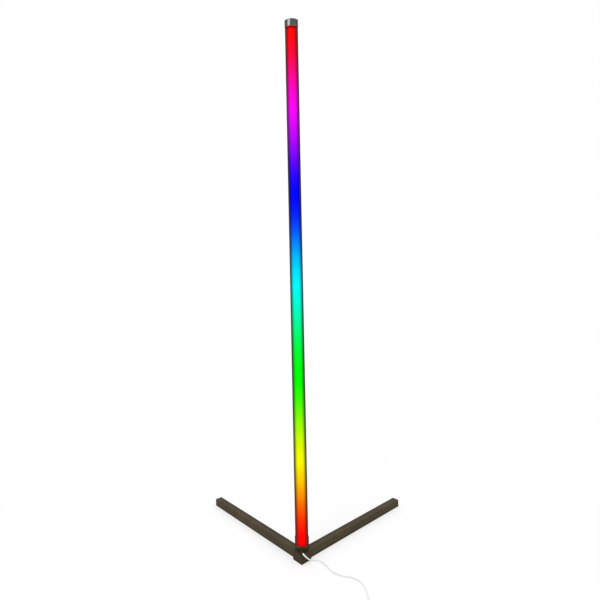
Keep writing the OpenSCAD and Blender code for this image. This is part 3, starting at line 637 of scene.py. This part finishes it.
class Finish:
    """A material of the lamp, built round one Principled shader."""

    def __init__(self, name, **constants):
        """Makes the material; constants are sockets that stay the same all over the surface."""
        self.material = bpy.data.materials.new(name)
        self.material.use_nodes = True
        self.tree = self.material.node_tree
        self.shader = self.tree.nodes["Principled BSDF"]
        for key, value in constants.items():
            self.shader.inputs[key.replace("_", " ").title().replace("Ior", "IOR")].default_value = value

    @classmethod
    def of_tree(cls, tree):
        """Wraps a node tree that isn't a material's, such as the world's."""
        made = cls.__new__(cls)
        made.tree = tree
        return made

    def cover(self, shader):
        """Puts a shader in front of the plain one."""
        self.feed(self.tree.nodes["Material Output"].inputs["Surface"], shader)

    def node(self, kind, settings=None, sockets=None, out=0):
        """Adds a node: its settings are set first, then its sockets get values or links."""
        made = self.tree.nodes.new(kind)
        for key, value in (settings or {}).items():
            setattr(made, key, value)
        for key, value in (sockets or {}).items():
            self.feed(made.inputs[key], value)
        return Wire(self, made.outputs[out])

    def feed(self, socket, value):
        """Links a wire to a socket, or sets the socket's value."""
        if isinstance(value, Wire):
            self.tree.links.new(value.socket, socket)
        elif isinstance(value, tuple) and len(value) == 3 and socket.type == "RGBA":
            socket.default_value = (*value, 1)
        else:
            socket.default_value = value

    def surface(self, **inputs):
        """Feeds the shader's sockets: base_color, roughness, normal and so on."""
        for key, value in inputs.items():
            self.feed(self.shader.inputs[key.replace("_", " ").title()], value)

    # Short names for what most finishes need

    def sine(self, value):
        """The sine of a value in radians."""
        return self.node("ShaderNodeMath", {"operation": "SINE"}, {0: value})

    def size_of(self, value):
        """A value without its sign."""
        return self.node("ShaderNodeMath", {"operation": "ABSOLUTE"}, {0: value})

    def place(self):
        """The point on the object, in metres."""
        return self.node("ShaderNodeTexCoord", out="Object")

    def axis(self, name):
        """One coordinate of the point on the object."""
        return self.node("ShaderNodeSeparateXYZ", {}, {0: self.place()}, out=name)

    def noise(self, scale, detail, stretch=(1, 1, 1)):
        """Soft random values round 0.5, with `scale` features a metre."""
        spot = self.node(
            "ShaderNodeVectorMath", {"operation": "MULTIPLY"}, {0: self.place(), 1: stretch},
        )
        return self.node("ShaderNodeTexNoise", {}, {"Vector": spot, "Scale": scale, "Detail": detail})

    def between(self, value, low, high, start=0.0, end=1.0):
        """Moves a value from low..high to start..end, smoothly and clamped."""
        return self.node(
            "ShaderNodeMapRange", {"interpolation_type": "SMOOTHSTEP"},
            {"Value": value, "From Min": low, "From Max": high, "To Min": start, "To Max": end},
        )

    def clamped(self, value):
        """Keeps a value within 0 to 1."""
        return self.node("ShaderNodeClamp", {}, {0: value})

    def mix(self, amount, first, second):
        """Mixes two colours."""
        return self.node("ShaderNodeMix", {"data_type": "RGBA"}, {0: amount, 6: first, 7: second}, out=2)

    def bump(self, height, depth, strength):
        """A normal from a height of 0 to 1; depth is in metres."""
        return self.node(
            "ShaderNodeBump", {}, {"Height": height, "Strength": strength, "Distance": depth},
        )


def tell(*made):
    """Prints how many nodes each finish took."""
    for finish in made:
        print(finish.material.name, "has", len(finish.tree.nodes), "nodes")


# %% [markdown]
# ## The legs' dark bronze
# The legs, the corner block and the socket share a satin powder coat, dark brown with a breath of
# green on the ends; the block and the socket take a darker copy of it, as painted shade of the corner
# under the column. Up close a powder coat is a fine orange peel, a touch uneven in colour and gloss.
# Near the floor and along the upper edge on the wall side the colour is darkened, as painted shade.
# Noise at three sizes gives the first; a painted mask could give the second, but each leg is a
# straight square bar, so its edges are found from the point's own place.

# %% Painted shade along the edges
bar_half = 9.2 * mm
bar_low = 1.0 * mm
bar_high = 19.4 * mm
floor_reach = 9 * mm
wall_reach = 12 * mm
wall_pace = 3
edge_shade_strength = 0.45
edge_shade_colour = (0.0, 0.0, 0.0)


def painted_edge_shade(finish):
    """The share of painted shade along the bars' lowest edges and their upper edge at the wall."""
    height = finish.axis("Z")
    across = finish.node(
        "ShaderNodeMath", {"operation": "MINIMUM"}, {0: finish.axis("X"), 1: finish.axis("Y")},
    )
    from_wall = finish.node(
        "ShaderNodeMath", {"operation": "MAXIMUM"},
        {0: bar_half - across, 1: wall_pace * (bar_high - height)},
    )
    low = finish.between(height, bar_low, bar_low + floor_reach, edge_shade_strength, 0)
    return low + finish.between(from_wall, 0, wall_reach, edge_shade_strength, 0)


# %% Powder coat


def powder_coat(name, dark, light):
    """A satin coat whose colour wanders between dark and light."""
    made = Finish(name, metallic=0.0, specular_ior_level=0.15)
    cloud = made.noise(28, detail=4)
    speck = made.noise(2600, detail=2)
    peel = made.noise(1100, detail=2)
    amount = made.between(cloud + (speck - 0.5) * 0.25, 0.3, 0.7)
    # The colour darkens along the bars' low edges and their wall-side top edge: painted shade.
    made.surface(
        base_color=made.mix(painted_edge_shade(made), made.mix(amount, dark, light), edge_shade_colour),
        roughness=0.46 + 0.12 * made.noise(60, detail=3) + 0.08 * (speck - 0.5),
        normal=made.bump(peel * 0.7 + speck * 0.3, 0.00006, 0.5),
    )
    return made


leg_coat = powder_coat("leg_coat", (0.048, 0.034, 0.012), (0.064, 0.047, 0.020))
cap_coat = powder_coat("end_cap_coat", (0.052, 0.047, 0.026), (0.068, 0.061, 0.036))
# The block and the socket take a darker copy of the leg coat: painted shade of the corner under the
# column.
shaded_block_coat = powder_coat("shaded_block_coat", (0.035, 0.023, 0.008), (0.049, 0.034, 0.014))
tell(leg_coat, cap_coat, shaded_block_coat)

# %% [markdown]
# ## The run of hues
# Behind the milky front sits a strip of chips that show every hue in turn. The milky plastic blends
# them, so the column shows one smooth run from red at the foot round the colour wheel to red at the
# top. A ramp with many stops could hold it, but hue is a number: height over the length of one full
# turn, fed to a Combine Color node in HSV. A small ripple lets each of the six main colours linger, as
# the chips do.

# %% Hue from height
hue_start = 43.2 * mm
hue_step = 188.86 * mm
main_colours = 6
display_gamma = 2.2
hue_drift = 0.0083
hue_rest = 0.0077


def hue_of_height(finish, level):
    """The colour of the light at this height; level is as bright as it looks, from 0 to 1."""
    turn = (finish.axis("Z") - hue_start) / (main_colours * hue_step)
    angle = turn * (2 * math.pi)
    drift = hue_drift * finish.sine(angle) - hue_rest * finish.sine(main_colours * angle)
    hue = finish.node("ShaderNodeMath", {"operation": "FRACT"}, {0: turn + drift + 1})
    seen = finish.node("ShaderNodeCombineColor", {"mode": "HSV"}, {0: hue, 1: 1.0, 2: level})
    return finish.node("ShaderNodeGamma", {}, {"Color": seen, "Gamma": display_gamma})


# %% [markdown]
# ## Where the light falls
# The middle of the front is brightest, and the light falls off towards the lips and at the two ends,
# where the strip stops short. Some of it spills onto the neighbours: the lips, the cap above and the
# cap below. Real bounces would show the same, but they are noisy on so thin a column and an export
# loses them. So each place is measured from the column's own shape, and the spill is drawn as a faint
# emission in the hue of that height.

# %% Measures on the column
window_half = 10.8 * mm
lit_low = 32.8 * mm
lit_high = cap_low * mm
low_end = 5 * mm
low_loss = 0.26
high_end = 7.5 * mm
high_loss = 0.35
beside_reach = 4 * mm
beside_left = 0.2
spill_level = 0.42
mask_from = 1.2
mask_full = 0.6


def across_front(finish):
    """Distance from the column's front line, straight across, in metres."""
    return finish.size_of((finish.axis("X") - finish.axis("Y")) / math.sqrt(2))


def on_front(finish):
    """1 on the column's rounded front, a column's width from the back corner, and 0 elsewhere."""
    flat_place = finish.node(
        "ShaderNodeVectorMath", {"operation": "MULTIPLY"}, {0: finish.place(), 1: (1, 1, 0)},
    )
    from_back_corner = finish.node(
        "ShaderNodeVectorMath", {"operation": "DISTANCE"},
        {0: flat_place, 1: (back * mm, back * mm, 0)}, out="Value",
    )
    return finish.between(
        from_back_corner, (column_w - mask_from) * mm, (column_w - mask_full) * mm,
    )


# %% Light beside the front and at its ends


def spill(finish, edge, reach):
    """The light that falls on a neighbour of the lit front, fading with the height from its edge."""
    fading = finish.between(finish.size_of(finish.axis("Z") - edge), 0, reach, spill_level, 0)
    end = window_half + beside_reach
    beside = finish.between(across_front(finish), window_half, end, 1, beside_left)
    return hue_of_height(finish, on_front(finish) * beside * fading)


def end_dimming(finish):
    """The share of light that the two ends of the front lose, where the strip stops short of them."""
    height = finish.axis("Z")
    low = finish.between(height, lit_low, lit_low + low_end, low_loss, 0)
    high = finish.between(height, lit_high - high_end, lit_high, 0, high_loss)
    return low + high


# %% Milky front
chip_pitch = 33.3 * mm
chip_ripple = 0.006
bright_half = 4 * mm
full_level = 0.982
slow_fall = 0.34
edge_fall = 0.18
painted_hue_level = 0.16
lit = Finish("lit_front", roughness=0.6, specular_ior_level=0.03, emission_strength=1.0)
aside = lit.clamped((across_front(lit) - bright_half) / (window_half - bright_half))
chips = lit.sine(lit.axis("Z") * (2 * math.pi / chip_pitch))
middle = full_level + chip_ripple * chips
level = (middle - slow_fall * aside ** 2 - edge_fall * aside ** 8) * (1 - end_dimming(lit))
# The base colour carries the hue of the strip's light at a low level: painted light, since the milky
# plastic itself is white.
lit.surface(
    base_color=hue_of_height(lit, painted_hue_level),
    emission_color=hue_of_height(lit, level),
    normal=lit.bump(lit.noise(900, detail=2), 0.00002, 0.3),
)
tell(lit)

# %% [markdown]
# ## The dark lips
# The aluminium profile is anodised black. Its faces keep fine lines along the direction of the
# extrusion, and right beside the milky front the light leaks onto its lips, so they glow faintly in
# the hue next to them. Stretched noise draws the lines, and the distance from the front line fades
# the leak.

# %% Anodised profile
lip_end = 14.5 * mm
lip_level = 0.16
anodised = Finish("anodised_black", metallic=0.85, specular_ior_level=0.3, emission_strength=1.0)
lines = anodised.noise(5200, detail=2, stretch=(1, 1, 0.004))
streak = anodised.noise(900, detail=3, stretch=(1, 1, 0.01))
beside = anodised.between(across_front(anodised), lip_end, window_half, lip_level, spill_level)
leak = beside * on_front(anodised) * (1 - end_dimming(anodised))
anodised.surface(
    base_color=anodised.mix(streak, (0.018, 0.015, 0.013), (0.028, 0.024, 0.021)),
    roughness=0.34 + 0.14 * streak,
    emission_color=hue_of_height(anodised, leak),
    normal=anodised.bump(lines, 0.00002, 0.5),
)
tell(anodised)

# %% [markdown]
# ## Gunmetal cap
# The cap on top is dark chrome. It mirrors the white studio, but its metal keeps only a tenth of the
# light; towards its two upright corners the colour is darkened further, as painted shade. Real chrome
# on a small casting is never optically flat: slow waves bend its reflections, and handling leaves it
# duller in places.

# %% Dark chrome
corner_shade_from = 10.5 * mm
corner_shade_full = 14.2 * mm
cap_glow = 5.5 * mm
gunmetal = Finish("gunmetal_chrome", metallic=1.0, emission_strength=1.0)
smudge = gunmetal.between(gunmetal.noise(170, detail=5), 0.42, 0.68)
# Towards the upright corners the colour is darkened: painted shade.
corner_shade = gunmetal.between(across_front(gunmetal), corner_shade_from, corner_shade_full)
plated = gunmetal.mix(smudge, (0.094, 0.108, 0.102), (0.080, 0.092, 0.087))
gunmetal.surface(
    base_color=gunmetal.mix(corner_shade, plated, (0.052, 0.058, 0.055)),
    roughness=0.10 + 0.08 * smudge,
    emission_color=spill(gunmetal, lit_high, cap_glow),
    normal=gunmetal.bump(gunmetal.noise(260, detail=1), 0.00005, 0.2),
)
tell(gunmetal)

# %% [markdown]
# ## White cord and mouldings
# The cord's jacket is soft white plastic, faintly uneven from the die it was drawn through and a little
# grey where it is handled. The controller and plug are smoother mouldings of the same white, with the
# fine spark texture of their mould and a thin dark line where their two halves meet. That line could
# be cut into the mesh, but it is a hair wide, so a mask of the height is enough.

# %% White plastics


def white_plastic(name, colour, grey, texture, depth, rough):
    """A pale moulding with a fine surface and a trace of handling."""
    made = Finish(name, specular_ior_level=0.45)
    handled = made.between(made.noise(90, detail=4), 0.45, 0.75)
    grain = made.noise(texture, detail=2)
    made.surface(
        base_color=made.mix(handled, colour, grey),
        roughness=rough + 0.14 * handled + 0.06 * (grain - 0.5),
        normal=made.bump(grain, depth, 0.4),
    )
    return made


seam_grey = (0.22, 0.22, 0.21)
seam_width = 0.16 * mm


def with_seam(finish, height):
    """Darkens a moulding along the line where its two halves meet."""
    away = finish.size_of(finish.axis("Z") - height)
    gap = finish.between(away, seam_width / 2, seam_width, 1, 0)
    plain = Wire(finish, finish.shader.inputs["Base Color"].links[0].from_socket)
    finish.surface(base_color=finish.mix(gap, plain, seam_grey))
    return finish


jacket_look = ((0.87, 0.865, 0.845), (0.81, 0.805, 0.785), 1500, 0.00004, 0.42)
moulding_look = ((0.80, 0.80, 0.78), (0.73, 0.73, 0.71), 3000, 0.00003, 0.32)
jacket = white_plastic("cord_jacket", *jacket_look)
plug_white = with_seam(white_plastic("plug_moulding", *moulding_look), plug_mid * mm)
shell_white = with_seam(white_plastic("shell_moulding", *moulding_look), ctrl_mid * mm)
insulator = white_plastic("plug_insulator", (0.74, 0.74, 0.74), (0.68, 0.68, 0.68), 2500, 0.00002, 0.5)
strip_face = white_plastic("strip_face", (0.78, 0.78, 0.76), (0.70, 0.70, 0.68), 900, 0.00003, 0.5)
chip_face = white_plastic("chip_face", (0.80, 0.76, 0.60), (0.74, 0.70, 0.54), 1800, 0.00002, 0.3)
tell(jacket, plug_white, shell_white, insulator, strip_face, chip_face)

# %% [markdown]
# ## Dark plastics and rubber
# The cap under the lit front and the cord's boot are matt brown-black plastic. The foot pads are
# rubber with a coarse grain, and the buttons are smooth grey silicone. The wires' skins and the
# controller's board share the same recipe: a colour that wears, over a fine random grain.

# %% Dark plastics


def grained(name, dark, light, scale, depth, rough, **constants):
    """A matt moulded or rubber surface with a random grain."""
    made = Finish(name, specular_ior_level=0.15, **constants)
    grain = made.noise(scale, detail=3)
    wear = made.noise(55, detail=4)
    made.surface(
        base_color=made.mix(made.between(wear, 0.35, 0.7), dark, light),
        roughness=rough + 0.12 * (wear - 0.5) + 0.10 * (grain - 0.5),
        normal=made.bump(grain, depth, 0.6),
    )
    return made


foot_glow = 4.5 * mm
matt = (1900, 0.00005, 0.52)
socket_plastic = grained("socket_plastic", (0.030, 0.022, 0.010), (0.042, 0.031, 0.015), *matt)
foot_plastic = grained(
    "foot_plastic", (0.030, 0.026, 0.012), (0.042, 0.037, 0.018), *matt, emission_strength=1.0,
)
foot_plastic.surface(emission_color=spill(foot_plastic, lit_low, foot_glow))
pad_rubber = grained("pad_rubber", (0.018, 0.018, 0.018), (0.030, 0.030, 0.029), 1300, 0.0001, 0.72)
button_rubber = grained("button_silicone", (0.26, 0.26, 0.26), (0.33, 0.33, 0.32), 2400, 0.00003, 0.5)
wire_skin = grained("wire_skin", (0.45, 0.03, 0.02), (0.55, 0.05, 0.03), 2000, 0.00002, 0.35)
board_green = grained("board_green", (0.015, 0.13, 0.05), (0.03, 0.19, 0.08), 700, 0.00003, 0.35)
tell(socket_plastic, foot_plastic, pad_rubber, button_rubber, wire_skin, board_green)

# %% [markdown]
# ## Small metals
# Screws are zinc plated, the plug's shell is nickel on folded steel with brushed faces, and its
# contacts are gold on brass. Fine stretched noise brushes them.

# %% Screws, shell and contacts


def brushed(name, dark, light, stretch, rough):
    """A metal with fine lines along one direction."""
    made = Finish(name, metallic=1.0)
    line = made.noise(2200, detail=3, stretch=stretch)
    stain = made.noise(140, detail=4)
    made.surface(
        base_color=made.mix(made.between(stain, 0.35, 0.7), dark, light),
        roughness=rough + 0.16 * line,
        normal=made.bump(line, 0.00002, 0.5),
    )
    return made


screw_zinc = brushed("screw_zinc", (0.42, 0.42, 0.40), (0.55, 0.55, 0.53), (1, 1, 1), 0.28)
plug_nickel = brushed("plug_nickel", (0.55, 0.55, 0.54), (0.66, 0.66, 0.65), (1, 0.05, 1), 0.20)
contact_gold = brushed("contact_gold", (0.62, 0.43, 0.15), (0.75, 0.55, 0.22), (1, 0.05, 1), 0.22)
key_metal = brushed("key_metal", (0.50, 0.50, 0.50), (0.62, 0.62, 0.62), (1, 1, 0.03), 0.3)
tell(screw_zinc, plug_nickel, contact_gold, key_metal)

# %% [markdown]
# ## Woven tie
# The band round the coil is woven nylon. Two families of threads cross at right angles, so the height
# on a face is the product of two waves. The band's faces look in several directions, so the products
# of all three pairs of waves are added, and fuzz lies on top.

# %% Weave
weave = Finish("woven_band", specular_ior_level=0.25)
thread = 0.45 * mm
waves = [weave.sine(weave.axis(name) * (2 * math.pi / thread)) for name in ("X", "Y", "Z")]
crossing = waves[0] * waves[1] + waves[1] * waves[2] + waves[0] * waves[2]
raised = weave.between(crossing, -1, 1)
fuzz = weave.noise(3000, detail=3)
weave.surface(
    base_color=weave.mix(raised, (0.016, 0.016, 0.017), (0.045, 0.045, 0.047)),
    roughness=0.78 + 0.1 * (fuzz - 0.5),
    normal=weave.bump(raised * 0.7 + fuzz * 0.3, 0.00015, 0.8),
)
tell(weave)

# %% [markdown]
# ## Dressing the pieces
# Every CAD piece that shows keeps its mesh and only swaps its material. One table says which finish
# goes where, and a second one covers the pieces made here.

# %% Assign the finishes
finishes = {
    leg_coat: ["leg_tube_right", "leg_tube_left"],
    cap_coat: ["leg_end_cap_right", "leg_end_cap_left"],
    shaded_block_coat: ["corner_block", "socket_bracket"],
    screw_zinc: [
        "bracket_screws", "socket_screws", "leg_screws_right", "leg_screws_left",
        "joint_grub_screws", "controller_screws",
    ],
    pad_rubber: ["foot_pad_corner", "foot_pad_right", "foot_pad_left"],
    anodised: ["profile_lower", "profile_middle", "profile_upper"],
    key_metal: ["joint_key_lower", "joint_key_upper"],
    strip_face: ["light_strip"],
    chip_face: ["light_chips"],
    lit: ["diffuser"],
    foot_plastic: ["bottom_cap"],
    wire_skin: ["feed_wires", "controller_wires"],
    jacket: ["controller_grommets"],
    shell_white: ["controller_shell_lower", "controller_shell_upper"],
    plug_white: ["plug_body"],
    board_green: ["controller_board"],
    plug_nickel: ["plug_shell"],
    insulator: ["plug_insert"],
    contact_gold: ["plug_contacts"],
}
dressed = set()
for finish, names in finishes.items():
    for name in names:
        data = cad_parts[name].data
        data.materials.clear()
        data.materials.append(finish.material)
        dressed.add(name)
made_pieces = [
    (power_cord, jacket), (plug_cord, jacket), (coil_band, weave), (cord_boot, socket_plastic),
    (column_cap, gunmetal),
]
made_pieces += [(button_cap, button_rubber) for button_cap in button_caps]
for made, finish in made_pieces:
    made.data.materials.append(finish.material)
replaced = {name for made, finish in made_pieces for name in made["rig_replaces"]}
print(len(dressed), "nodes keep their mesh and", len(replaced), "are stood for")
print("nodes without a finish:", sorted(set(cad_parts) - dressed - replaced))

# %% [markdown]
# ## Floor and studio
# The photograph is cut out on pure white. A brighter lamp would bleach the object, so the white comes
# from the floor and the world themselves: where a camera, glossy or transmission ray meets them they
# answer with plain white, while the lamp is lit by softer values. Near the object the floor keeps a
# good part of its own shading, which is enough for a faint shadow. To all other rays it is a middle
# grey that throws back about half of the light, so that upright faces are darker than the tops.

# %% Rays that see the studio


def seen_directly(finish):
    """1 where the camera, a mirror or clear glass sees the surface, otherwise 0."""
    rays = [
        finish.node("ShaderNodeLightPath", out=name)
        for name in ("Is Camera Ray", "Is Glossy Ray", "Is Transmission Ray")
    ]
    return finish.clamped(rays[0] + rays[1] + rays[2])


# %% A floor that stays white
paper = Finish("floor_white", roughness=0.9, specular_ior_level=0.1)
seen_white = (0.95, 0.95, 0.95)
bounce_grey = (0.55, 0.55, 0.55)
floor_radius = 14
floor_drop = 0.05 * mm
shaded_to = 0.35
white_from = 0.9
least_white = 0.55


def make_floor():
    """A large round floor that shades the object's surroundings and ends in plain white."""
    mesh = bmesh.new()
    bmesh.ops.create_circle(mesh, cap_ends=True, segments=96, radius=floor_radius)
    data = bpy.data.meshes.new("floor")
    mesh.to_mesh(data)
    mesh.free()
    made = bpy.data.objects.new("floor", data)
    made.location.z = -floor_drop
    scene.collection.objects.link(made)
    distance = paper.node(
        "ShaderNodeVectorMath", {"operation": "LENGTH"}, {0: paper.place()}, out="Value",
    )
    share = seen_directly(paper) * paper.between(distance, shaded_to, white_from, least_white, 1)
    paper.surface(base_color=paper.mix(seen_directly(paper), bounce_grey, seen_white))
    white = paper.node("ShaderNodeEmission", {}, {"Color": (1, 1, 1), "Strength": 1.0})
    shaded = Wire(paper, paper.shader.outputs[0])
    paper.cover(paper.node("ShaderNodeMixShader", {}, {0: share, 1: shaded, 2: white}))
    data.materials.append(paper.material)


make_floor()
tell(paper)

# %% The world around
world_level = 0.85
world = bpy.data.worlds.new("studio")
scene.world = world
world.use_nodes = True
air = Finish.of_tree(world.node_tree)
background = world.node_tree.nodes["Background"]
background.inputs["Color"].default_value = (1, 1, 1, 1)
air.feed(background.inputs["Strength"], world_level + (1 - world_level) * seen_directly(air))
print("world strength:", world_level, "for the lamp, 1 for what the camera sees")

# %% [markdown]
# ## The lamps
# One large softbox stands high on the left and gives the legs their lighter tops, and a weaker one
# fills in from the right. A third stands where the chrome cap mirrors it to the camera, and draws the
# cap's upright highlight; the other two are hidden from mirrors, or they would widen it. All are
# soft, so nothing has a hard shadow.

# %% Softboxes


def softbox(name, place, aim, size, watts, mirrored=False):
    """A rectangular area lamp that points at a spot; polished metal shows it where mirrored."""
    data = bpy.data.lights.new(name, "AREA")
    data.shape = "RECTANGLE"
    data.size = size[0]
    data.size_y = size[1]
    data.energy = watts
    made = bpy.data.objects.new(name, data)
    made.location = place
    made.visible_glossy = mirrored
    made.rotation_euler = (Vector(aim) - Vector(place)).to_track_quat("-Z", "Y").to_euler()
    scene.collection.objects.link(made)
    print(name, "gives", watts, "watts from", place)


softbox("key", (-1.6, -0.9, 3.0), (0, 0, 0.3), (1.8, 1.8), 15)
softbox("fill", (1.4, -2.4, 2.2), (0, 0, 0.5), (1.4, 1.4), 8)
softbox("cap_light", (-1.94, -0.47, 2.51), (0, 0, 1.19), (1.0, 1.2), 17, mirrored=True)
